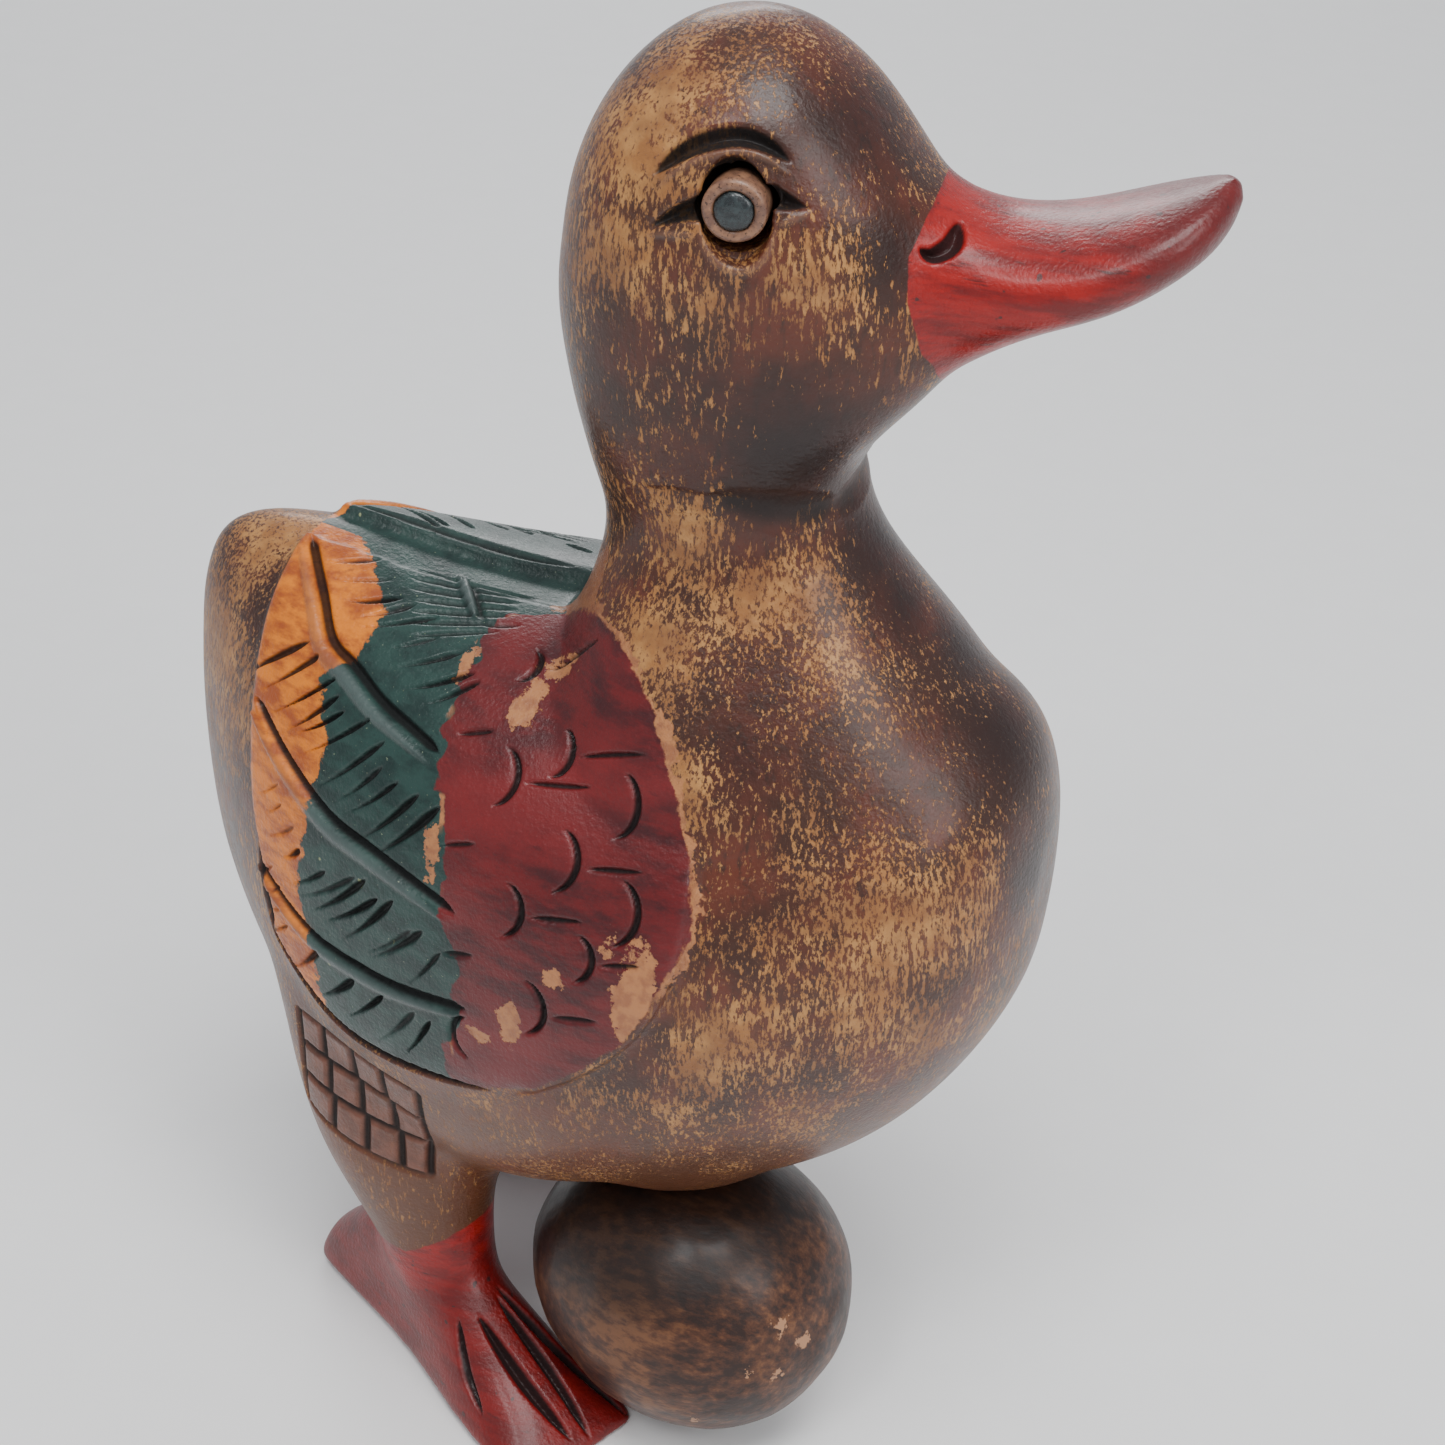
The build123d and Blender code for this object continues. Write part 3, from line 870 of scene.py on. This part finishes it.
def worn_brown(n):
    """Dark brown rubbed through in upright flecks to ochre, and black brown where the dark value is high,
    partly as painted shade. Returns the colour and where it is worn.
    """
    flecks = n.noise(1350, 4.0, 0.7, stretch=(1, 1, 0.22))
    specks = n.noise(1900, 2.0, 0.6, stretch=(1, 1, 0.55), offset=3.0)
    patches = n.noise(70, 4.0, 0.65, stretch=(1, 1, 0.7), offset=5.0)
    rub = n.times_plus(n.value("dark"), -0.9, n.value("rubbed"))
    wash = n.times_plus(rub, 0.40, patches)
    fine = n.times_plus(flecks, 1.0, n.times(specks, 0.34))
    level = n.math("ADD", n.times(wash, 0.42), fine)
    # low_down is 1 low on the legs, where there are fewer flecks of wear.
    low_down = n.between(n.value("ankle"), -72, -38)
    worn = n.between(n.times_plus(low_down, -0.07, level), 0.905, 0.995)
    under = n.mix(n.between(n.noise(190, 3.0, offset=2.0), 0.38, 0.62), OCHRE, GOLD)
    under = n.mix(n.between(n.noise(75, 3.0, offset=12.0), 0.42, 0.66, 0.0, 0.6), under, MID_BROWN)
    top = n.mix(n.between(n.noise(60, 3.0, offset=7.0), 0.38, 0.68), CHOCOLATE, RED_BROWN)
    top = n.mix(n.between(wash, 0.50, 0.95, 0.0, 0.85), top, MID_BROWN)
    top = n.mix(n.between(n.noise(600, 3.0, stretch=(1, 1, 0.28), offset=8.0), 0.50, 0.72), top, CHOCOLATE)
    # Lighter mid brown low on the legs: painted light thrown up from the floor.
    top = n.mix(n.times(low_down, 0.6), top, MID_BROWN)
    # Black brown where the dark value is high: dark paint, and painted shade in the hollows under the head
    # and the belly.
    top = n.mix(n.times(n.value("dark"), 0.9), top, BLACK_BROWN)
    return n.mix(worn, top, under), worn


def streaky(n, light, dark, stretch, share=0.5, scale=420):
    """Brushed paint: two tones in long streaks, with thin dark ones."""
    tone = n.mix(n.between(n.noise(scale, 4.0, 0.65, stretch=stretch), 0.36, 0.66), light, dark)
    lines = n.between(n.noise(scale * 1.7, 3.0, 0.7, stretch=stretch, offset=4.0), 0.60, 0.74)
    return tone, n.times(lines, share)


def border(n, distance, jag, scale=260, soft=0.25, offset=0.0):
    """1 where distance, in millimetres, is past a ragged border at 0."""
    ragged = n.times_plus(n.noise(scale, 4.0, 0.7, offset=offset), 2 * jag, -jag)
    return n.between(n.math("ADD", distance, ragged), -soft, soft)


def carved_paint():
    n = Nodes("carved_paint")
    cut = n.value("cut")
    colour, worn = worn_brown(n)
    gloss_drop = n.times(worn, 0.10)

    # Pale tan on raised ridges in the brown: rubbed paint, and a painted highlight.
    colour = n.mix(n.times(n.value("ridge"), 0.65), colour, (0.27, 0.14, 0.085))

    patch = border(n, n.value("patch"), 0.5, soft=0.6)
    cell = n.between(n.noise(300, 3.0, offset=21.0), 0.35, 0.7)
    cell = n.mix(cell, (0.17, 0.062, 0.038), (0.10, 0.038, 0.024))
    colour = n.mix(n.times(patch, 0.9), colour, cell)

    wing = border(n, n.value("wing"), 1.3, scale=330, offset=31.0)
    tan_rim = border(n, n.math("ADD", n.value("wing"), 1.2), 6.0, scale=130, offset=33.0)
    front = n.times(n.between(n.value("green"), -16, -30), n.between(n.value("round"), 78, 66))
    tan = n.mix(n.between(n.noise(420, 3.0, offset=36.0), 0.4, 0.65), TAN, (0.27, 0.10, 0.042))
    colour = n.mix(n.times(tan_rim, front), colour, tan)
    colour = n.mix(border(n, n.value("bare"), 2.5, offset=35.0), colour, n.mix(0.45, tan, RED_BROWN))

    burgundy, lines = streaky(n, BURGUNDY, DARK_BURGUNDY, (0.35, 0.35, 1), 0.5, 300)
    redder = n.between(n.noise(34, 2.0, offset=41.0), 0.45, 0.7, 0.0, 0.75)
    burgundy = n.mix(redder, burgundy, (0.16, 0.011, 0.012))
    burgundy = n.mix(lines, burgundy, DARK_BURGUNDY)
    green, lines = streaky(n, GREEN, DARK_GREEN, (0.5, 0.5, 1), 0.7, 260)
    green = n.mix(lines, green, (0.003, 0.014, 0.012))
    green = n.mix(n.between(n.noise(1400, 2.0, 0.7, offset=43.0), 0.70, 0.76), green, (0.20, 0.24, 0.15))
    # Grey-green on raised ridges in the green: rubbed paint, and a painted highlight.
    green = n.mix(n.times(n.value("ridge"), 0.6), green, GREY_GREEN)
    orange, lines = streaky(n, ORANGE, DEEP_ORANGE, (0.4, 0.4, 1), 0.6, 330)
    orange = n.mix(lines, orange, (0.14, 0.030, 0.010))
    orange = n.mix(n.times(n.value("ridge"), 0.55), orange, (0.20, 0.09, 0.05))

    wander = n.times_plus(n.noise(95, 2.0, offset=50.0), 14, n.value("green"))
    is_green = border(n, n.math("SUBTRACT", wander, 7), 1.8, scale=260, soft=0.25, offset=51.0)
    is_orange = border(n, n.value("orange"), 3.4, scale=230, soft=0.35, offset=53.0)
    is_orange = n.times(is_orange, is_green)
    wing_colour = n.mix(is_green, burgundy, green)
    wing_colour = n.mix(is_orange, wing_colour, orange)
    specks = n.times(n.noise(170, 2.0, offset=57.0), n.math("SUBTRACT", 1.0, is_orange))
    specks = n.between(specks, 0.715, 0.735)
    wing_colour = n.mix(n.times(specks, is_green), wing_colour, (0.22, 0.25, 0.12))
    chip = border(n, n.value("chip"), 4.0, scale=260, soft=0.2, offset=61.0)
    from_green_end = n.math("ABSOLUTE", n.value("green"))
    edge_chip = border(n, n.math("SUBTRACT", 0.3, from_green_end), 2.0, scale=150, offset=63.0)
    edge_chip = n.times(edge_chip, n.between(n.noise(60, 2.0, offset=65.0), 0.55, 0.60))
    wing_colour = n.mix(n.math("MAXIMUM", chip, edge_chip), wing_colour, tan)
    colour = n.mix(wing, colour, wing_colour)

    red, lines = streaky(n, RED, DEEP_RED, (0.14, 0.6, 1), 0.9, 330)
    red = n.mix(lines, red, STREAK)
    # Darker red towards the bill's tip. Darker red on the feet further below the ankle's border, as painted
    # shade beside the egg.
    bill_tip = n.times_plus(n.noise(150, 3.0, offset=75.0), 24, n.value("bill"))
    bill_tip = n.between(bill_tip, 33, 56, 0.0, 0.85)
    foot = n.between(n.value("ankle"), 3, 16, 0.0, 0.6)
    red = n.mix(n.math("MAXIMUM", bill_tip, foot), red, (0.09, 0.006, 0.006))
    dots = n.between(n.noise(420, 1.0, 0.4, offset=71.0), 0.735, 0.76)
    red = n.mix(n.times(dots, 0.85), red, (0.035, 0.012, 0.012))
    is_red = n.math("MAXIMUM", border(n, n.value("bill"), 0.35, soft=0.15),
                    border(n, n.value("ankle"), 0.7, soft=0.3, offset=73.0))
    colour = n.mix(is_red, colour, red)

    # Carved cuts near black: painted shade in the gouges, and dark paint pooled in them.
    shadow = n.mix(0.93, colour, (0.002, 0.0015, 0.0015))
    colour = n.mix(n.between(cut, 0.15, 0.80, 0.0, 0.985), colour, shadow)

    painted = n.math("MAXIMUM", wing, is_red)
    grain = n.noise(700, 4.0, 0.65, stretch=(1, 1, 0.35), offset=81.0)
    dimples = n.noise(1150, 3.0, 0.55, offset=83.0)
    rough = n.times_plus(n.noise(240, 3.0, offset=85.0), 0.20, 0.27)
    rough = n.math("ADD", rough, n.times_plus(cut, 0.55, gloss_drop))
    bare = n.times_plus(painted, 0.25, -0.25)
    fine = n.times_plus(grain, 0.35, n.times(dimples, 0.55))
    relief = n.times_plus(worn, bare, fine)
    chips = n.times(n.math("MAXIMUM", chip, edge_chip), wing)
    relief = n.times_plus(chips, -0.5, relief)
    return n.surface(colour, rough, n.bump(relief, 0.6, 0.0006), coat=0.18, coat_roughness=0.2)


def egg_paint():
    n = Nodes("egg_paint")
    sweep = n.noise(60, 4.0, 0.6, stretch=(0.5, 1, 1), offset=4.0)
    fine = n.noise(520, 4.0, 0.65, stretch=(0.45, 1, 1), offset=6.0)
    level = n.times_plus(sweep, 0.55, n.times(fine, 0.55))
    colour = n.mix(n.between(level, 0.46, 0.61), (0.020, 0.007, 0.004), (0.075, 0.025, 0.010))
    colour = n.mix(n.between(level, 0.57, 0.68), colour, (0.15, 0.058, 0.021))
    # Near black where the dark value is high: painted shade of the belly on the egg's top.
    colour = n.mix(n.times(n.value("dark"), 0.9), colour, (0.008, 0.004, 0.003))
    chips = border(n, n.value("chip"), 5.0, scale=300, soft=0.2, offset=9.0)
    colour = n.mix(chips, colour, (0.38, 0.19, 0.095))
    rough = n.times_plus(n.noise(200, 3.0, offset=8.0), 0.22, 0.36)
    relief = n.times_plus(chips, -0.8, n.times(fine, 0.5))
    return n.surface(colour, rough, n.bump(relief, 0.5, 0.0005), coat=0.14, coat_roughness=0.2)


def bare_wood():
    n = Nodes("bare_wood")
    rings = n.noise(260, 4.0, 0.6, stretch=(1, 1, 0.06))
    pores = n.between(n.noise(1500, 3.0, 0.6, stretch=(1, 1, 0.08), offset=3.0), 0.60, 0.72)
    colour = n.mix(rings, (0.50, 0.31, 0.15), (0.66, 0.46, 0.26))
    colour = n.mix(n.times(pores, 0.6), colour, (0.25, 0.13, 0.06))
    rough = n.times_plus(rings, 0.2, 0.55)
    return n.surface(colour, rough, n.bump(n.math("ADD", rings, pores), 0.3, 0.0002))


def eye_rim_paint():
    n = Nodes("eye_rim_paint")
    blotch = n.noise(420, 4.0, 0.65, offset=2.0)
    colour = n.mix(n.between(blotch, 0.35, 0.65), (0.13, 0.065, 0.045), (0.27, 0.135, 0.075))
    specks = n.between(n.noise(2100, 3.0, 0.6, offset=5.0), 0.57, 0.66)
    colour = n.mix(specks, colour, (0.05, 0.022, 0.014))
    rough = n.times_plus(blotch, 0.25, 0.26)
    return n.surface(colour, rough, n.bump(n.noise(1500, 3.0, offset=6.0), 0.5, 0.0003), coat=0.25)


def pupil_paint():
    n = Nodes("pupil_paint")
    swirl = n.noise(900, 5.0, 0.7, offset=2.0)
    colour = n.mix(n.between(swirl, 0.38, 0.68), (0.004, 0.007, 0.009), (0.022, 0.034, 0.036))
    rough = n.times_plus(swirl, 0.3, 0.12)
    return n.surface(colour, rough, n.bump(swirl, 0.8, 0.0004), coat=0.5, coat_roughness=0.12)


# ---------------- eyes and egg
TURNED_STEPS = 64


def turned(name, node, side, profile):
    """A round piece turned about an eye's axis, at a CAD node's middle. The profile is (radius, height)."""
    centre = middle(node)
    axis = HEAD_ROTATION @ Vector((0, side, 0))
    across = HEAD_ROTATION @ Vector((1, 0, 0))
    up = HEAD_ROTATION @ Vector((0, 0, 1))
    bm = bmesh.new()
    rings = []
    for radius, height in profile:
        ring = []
        for i in range(TURNED_STEPS):
            angle = 2 * math.pi * i / TURNED_STEPS
            wobble = 1 + 0.012 * math.sin(2 * angle + 1) + 0.008 * math.sin(5 * angle)
            out = (across * math.cos(angle) + up * math.sin(angle)) * radius * wobble * MM
            ring.append(bm.verts.new(centre + out + axis * height * MM))
        rings.append(ring)
    for a, b in zip(rings, rings[1:]):
        for i in range(TURNED_STEPS):
            k = (i + 1) % TURNED_STEPS
            bm.faces.new((a[i], a[k], b[k], b[i]))
    bm.faces.new(rings[0])
    bm.faces.new(rings[-1])
    bmesh.ops.recalc_face_normals(bm, faces=bm.faces)
    for face in bm.faces:
        face.smooth = len(face.verts) == 4
    mesh = bpy.data.meshes.new(name)
    bm.to_mesh(mesh)
    bm.free()
    return shown(name, mesh)


DISC_DEPTH = 9.0
SEAT_R = 3.3
PUPIL_DEPTH = 4.5
PUPIL_R = 3.25


def make_eye(side_name, side):
    """The disc with a rounded rim and a seat for the pupil, and the domed pupil."""
    back, face = -DISC_DEPTH / 2, DISC_DEPTH / 2
    disc = turned(side_name + "_eye_disc", side_name + "_eye", side, [
        (SEAT_R, back), (EYE_R - 0.1, back), (EYE_R, face - 1.2), (EYE_R - 0.1, face - 0.55),
        (EYE_R - 0.4, face - 0.18), (EYE_R - 0.8, face), (3.9, face - 0.05), (3.5, face - 0.25),
        (SEAT_R, face - 0.5), (SEAT_R, face - 4.0)])
    back, face = -PUPIL_DEPTH / 2, PUPIL_DEPTH / 2
    pupil = turned(side_name + "_pupil_bead", side_name + "_pupil", side, [
        (3.0, back), (PUPIL_R, back + 0.1), (PUPIL_R, face - 0.9), (3.05, face - 0.5),
        (2.5, face - 0.2), (1.5, face - 0.05), (0.6, face)])
    return disc, pupil


# Chips in the egg's paint: a place in the trunk's frame and a radius.
EGG_CHIPS = [((32, -36, 44), 1.5), ((37, -33, 38), 1.8), ((29, -43, 36), 1.2), ((34, -39, 33), 1.8),
             ((18, -46, 20), 0.9)]


def make_egg():
    """The egg, slightly facetted and inside the CAD's, with its chips and painted shade on its top under the
    belly.
    """
    mesh = even_mesh(("egg",), EGG_VOXEL)
    smooth(mesh, 1.0, 6)
    co = coordinates(mesh)
    out = normals(mesh)
    p = in_trunk(co)
    facets = 0.12 * np.sin(p[:, 0] * 0.31 + 1.0) * np.sin(p[:, 1] * 0.27) + 0.08 * np.sin(p[:, 2] * 0.43)
    away = ramp(p[:, 2], 0.5, 6.0) * ramp(-p[:, 2], -61, -57)  # from the floor and from the belly
    set_coordinates(mesh, co - out * (0.05 + away * (0.15 + np.abs(facets)))[:, None] * MM)
    chip = np.full(len(co), NO_CHIP)
    for place, radius in EGG_CHIPS:
        chip = np.maximum(chip, radius - np.sqrt(((p - np.array(place)) ** 2).sum(1)))
    add_value(mesh, "chip", chip)
    # Painted shade on the egg's top and round the seat, where the belly hangs over it.
    shaded_top = 0.85 * ramp(p[:, 2] - 0.35 * p[:, 0], 36, 50)
    add_value(mesh, "dark", np.maximum(shaded_top, blobs(p, [(-6, -22, 60, 20, 1.0)])))
    for polygon in mesh.polygons:
        polygon.use_smooth = True
    return shown("painted_egg", mesh)


# ---------------- the whole duck
def dress(piece, material, replaced):
    piece.data.materials.clear()
    piece.data.materials.append(material)
    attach(piece, "root")
    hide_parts(replaced)


paint = carved_paint()
skin = make_skin()
dress(piece_of_skin(skin, "carved_head", NECK_JOINT_Z, None), paint, "head")
dress(piece_of_skin(skin, "carved_body", ANKLE_JOINT_Z, NECK_JOINT_Z), paint, "body")
for side_name, side in SIDES.items():
    foot = piece_of_skin(skin, "carved_%s_foot" % side_name, None, ANKLE_JOINT_Z, side)
    dress(foot, paint, side_name + "_foot")

rim_paint = eye_rim_paint()
dark_paint = pupil_paint()
for side_name, side in SIDES.items():
    disc, pupil = make_eye(side_name, side)
    dress(disc, rim_paint, side_name + "_eye")
    dress(pupil, dark_paint, side_name + "_pupil")
dress(make_egg(), egg_paint(), "egg")

wood = bare_wood()
for node in ("neck_dowel", "right_leg_dowel", "left_leg_dowel", "egg_dowel"):
    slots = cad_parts[node].data.materials
    slots.clear()
    slots.append(wood)


# ---------------- floor, light and camera
def pale_floor():
    n = Nodes("pale_floor")
    speck = n.noise(60, 3.0, offset=1.0)
    colour = n.mix(speck, (0.82, 0.82, 0.815), (0.86, 0.86, 0.855))
    return n.surface(colour, 0.65, n.bump(speck, 0.02, 0.0005))


FLOOR_DROP = 0.2 * MM


def make_floor():
    bm = bmesh.new()
    bmesh.ops.create_grid(bm, x_segments=8, y_segments=8, size=6.0)
    mesh = bpy.data.meshes.new("floor")
    bm.to_mesh(mesh)
    bm.free()
    floor = shown("floor", mesh)
    floor.location.z = -FLOOR_DROP
    mesh.materials.append(pale_floor())


def area_light(name, place, size, power, target=(0, 0, 0.15), colour=(1, 1, 1)):
    light = bpy.data.lights.new(name, "AREA")
    light.shape = "RECTANGLE"
    light.size, light.size_y = size
    light.energy = power
    light.color = colour
    lamp = bpy.data.objects.new(name, light)
    bpy.context.scene.collection.objects.link(lamp)
    lamp.location = place
    lamp.rotation_euler = (Vector(target) - Vector(place)).to_track_quat("-Z", "Y").to_euler()


def make_light():
    world = bpy.data.worlds.new("studio")
    world.use_nodes = True
    background = world.node_tree.nodes["Background"]
    background.inputs[0].default_value = (0.93, 0.95, 1.0, 1)
    background.inputs[1].default_value = 0.62
    bpy.context.scene.world = world
    area_light("overhead", (0.25, -0.35, 1.5), (0.65, 0.65), 15.5)
    area_light("front_right", (1.1, -0.5, 0.9), (0.5, 0.7), 7)
    area_light("window", (-0.12, -0.72, 1.12), (0.2, 0.25), 2.4)
    area_light("behind", (-1.6, 3.4, 1.6), (2.0, 1.0), 60, target=(-1.2, 2.6, 0))


CAMERA_PLACE = (159.9, -360.5, 412.5)  # millimetres, in the object's frame
CAMERA_HEADING = 112.0  # degrees from +X, seen from above
CAMERA_DOWN = 33.24
CAMERA_ROLL = 1.72
CAMERA_LENS = 59.79  # on a 36 mm sensor


def make_camera():
    heading, down, roll = (math.radians(a) for a in (CAMERA_HEADING, CAMERA_DOWN, CAMERA_ROLL))
    level = math.cos(down)
    forward = Vector((math.cos(heading) * level, math.sin(heading) * level, -math.sin(down)))
    right = Vector((math.sin(heading), -math.cos(heading), 0))
    up = right.cross(forward)
    turned_right = right * math.cos(roll) + up * math.sin(roll)
    turned_up = up * math.cos(roll) - right * math.sin(roll)
    rotation = Matrix((turned_right, turned_up, -forward)).transposed()
    data = bpy.data.cameras.new("camera")
    data.sensor_width = 36.0
    data.lens = CAMERA_LENS
    data.clip_start = 0.01
    camera = bpy.data.objects.new("camera", data)
    bpy.context.scene.collection.objects.link(camera)
    camera.matrix_world = Matrix.Translation(Vector(CAMERA_PLACE) * MM) @ rotation.to_4x4()
    bpy.context.scene.camera = camera


make_floor()
make_light()
make_camera()

bpy.data.meshes.remove(skin)
